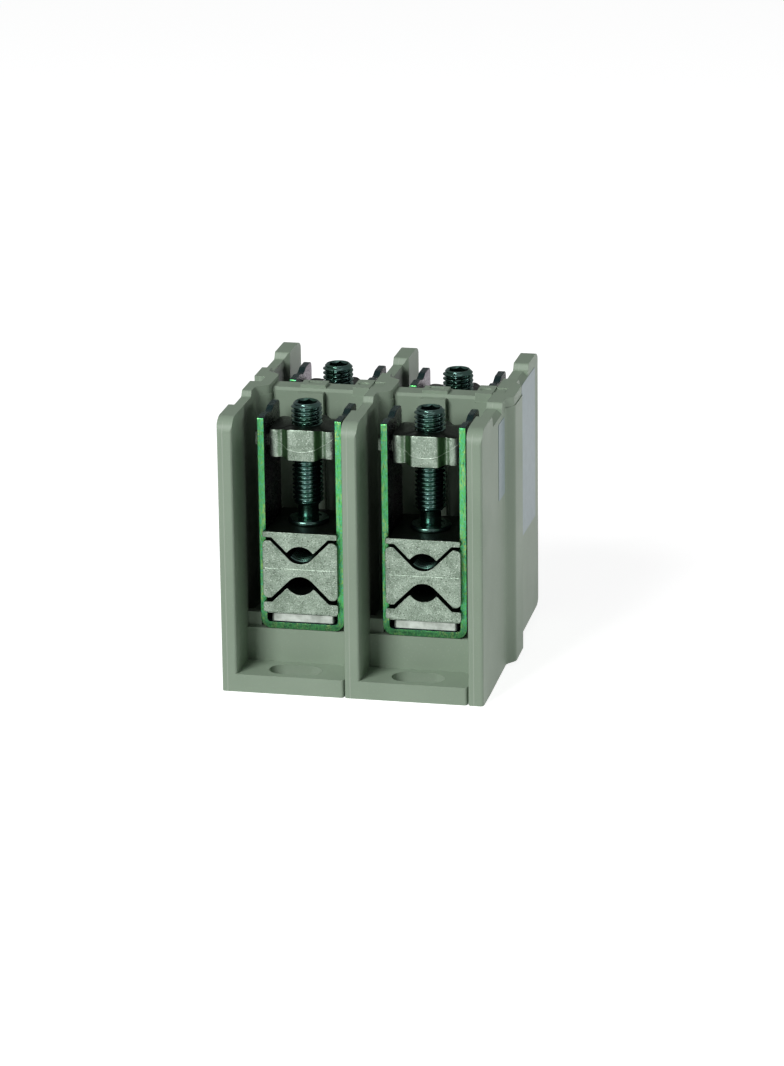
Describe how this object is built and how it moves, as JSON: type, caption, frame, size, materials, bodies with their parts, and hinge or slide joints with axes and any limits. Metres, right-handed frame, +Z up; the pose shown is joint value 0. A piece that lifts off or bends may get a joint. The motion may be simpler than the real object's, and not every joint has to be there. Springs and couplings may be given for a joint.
{
  "type": "terminal strip",
  "caption": "Feeder terminal strip: open moulded housings with screw clamps at front and rear, joined by a link bar in each pole.",
  "frame": {"origin": "on the floor under the middle of the whole strip", "axes": "+X towards the end plate, +Y to the rear clamps, +Z up along the clamp screws"},
  "size_m": [0.0878, 0.096, 0.0905],
  "materials": {
    "moulding": "moulded grey-beige thermoset, fine matte",
    "passivated_steel": "zinc plated and passivated, iridescent",
    "dark_steel": "dark bright zinc plated steel",
    "cast_metal": "tin plated casting, satin grain",
    "tinned_bar": "tinned conductor bar, satin"
  },
  "bodies": {
    "root": {"housing_left": "moulding", "housing_right": "moulding", "end_plate": "moulding", "link_bar_left": "tinned_bar", "link_bar_right": "tinned_bar", "front_left_bracket": "passivated_steel", "front_left_nut": "cast_metal", "front_left_bottom_jaw": "cast_metal", "front_right_bracket": "passivated_steel", "front_right_nut": "cast_metal", "front_right_bottom_jaw": "cast_metal", "rear_left_bracket": "passivated_steel", "rear_left_nut": "cast_metal", "rear_left_bottom_jaw": "cast_metal", "rear_right_bracket": "passivated_steel", "rear_right_nut": "cast_metal", "rear_right_bottom_jaw": "cast_metal"},
    "front_left_clamp_plate": {"front_left_top_jaw": "cast_metal", "front_left_thrust_ring": "dark_steel"},
    "front_left_clamp_screw": {"front_left_screw": "dark_steel"},
    "front_left_divider": {"front_left_middle_jaw": "cast_metal"},
    "front_right_clamp_plate": {"front_right_top_jaw": "cast_metal", "front_right_thrust_ring": "dark_steel"},
    "front_right_clamp_screw": {"front_right_screw": "dark_steel"},
    "front_right_divider": {"front_right_middle_jaw": "cast_metal"},
    "rear_left_clamp_plate": {"rear_left_top_jaw": "cast_metal", "rear_left_thrust_ring": "dark_steel"},
    "rear_left_clamp_screw": {"rear_left_screw": "dark_steel"},
    "rear_left_divider": {"rear_left_middle_jaw": "cast_metal"},
    "rear_right_clamp_plate": {"rear_right_top_jaw": "cast_metal", "rear_right_thrust_ring": "dark_steel"},
    "rear_right_clamp_screw": {"rear_right_screw": "dark_steel"},
    "rear_right_divider": {"rear_right_middle_jaw": "cast_metal"}
  },
  "joints": [
    {"name": "front_left_turn", "type": "hinge", "parent": "front_left_clamp_plate", "child": "front_left_clamp_screw", "pos_m": [-0.02055, -0.02248, 0.07], "axis": [0, 0, 1], "range_deg": [-360, 2880]},
    {"name": "front_left_lift", "type": "slide", "parent": "root", "child": "front_left_clamp_plate", "axis": [0, 0, 1], "range_m": [-0.0015, 0.012]},
    {"name": "front_left_follow", "type": "slide", "parent": "root", "child": "front_left_divider", "axis": [0, 0, 1], "range_m": [-0.00075, 0.006]},
    {"name": "front_right_turn", "type": "hinge", "parent": "front_right_clamp_plate", "child": "front_right_clamp_screw", "pos_m": [0.01945, -0.02248, 0.07], "axis": [0, 0, 1], "range_deg": [-360, 2880]},
    {"name": "front_right_lift", "type": "slide", "parent": "root", "child": "front_right_clamp_plate", "axis": [0, 0, 1], "range_m": [-0.0015, 0.012]},
    {"name": "front_right_follow", "type": "slide", "parent": "root", "child": "front_right_divider", "axis": [0, 0, 1], "range_m": [-0.00075, 0.006]},
    {"name": "rear_left_turn", "type": "hinge", "parent": "rear_left_clamp_plate", "child": "rear_left_clamp_screw", "pos_m": [-0.02055, 0.02248, 0.07], "axis": [0, 0, 1], "range_deg": [-360, 2880]},
    {"name": "rear_left_lift", "type": "slide", "parent": "root", "child": "rear_left_clamp_plate", "axis": [0, 0, 1], "range_m": [-0.0015, 0.012]},
    {"name": "rear_left_follow", "type": "slide", "parent": "root", "child": "rear_left_divider", "axis": [0, 0, 1], "range_m": [-0.00075, 0.006]},
    {"name": "rear_right_turn", "type": "hinge", "parent": "rear_right_clamp_plate", "child": "rear_right_clamp_screw", "pos_m": [0.01945, 0.02248, 0.07], "axis": [0, 0, 1], "range_deg": [-360, 2880]},
    {"name": "rear_right_lift", "type": "slide", "parent": "root", "child": "rear_right_clamp_plate", "axis": [0, 0, 1], "range_m": [-0.0015, 0.012]},
    {"name": "rear_right_follow", "type": "slide", "parent": "root", "child": "rear_right_divider", "axis": [0, 0, 1], "range_m": [-0.00075, 0.006]}
  ],
  "couplings": [
    {"joint": "front_left_turn", "follows": "front_left_lift", "rad_per_m": 4188.8},
    {"joint": "front_left_follow", "follows": "front_left_lift", "ratio": 0.5},
    {"joint": "front_right_turn", "follows": "front_right_lift", "rad_per_m": 4188.8},
    {"joint": "front_right_follow", "follows": "front_right_lift", "ratio": 0.5},
    {"joint": "rear_left_turn", "follows": "rear_left_lift", "rad_per_m": 4188.8},
    {"joint": "rear_left_follow", "follows": "rear_left_lift", "ratio": 0.5},
    {"joint": "rear_right_turn", "follows": "rear_right_lift", "rad_per_m": 4188.8},
    {"joint": "rear_right_follow", "follows": "rear_right_lift", "ratio": 0.5}
  ]
}
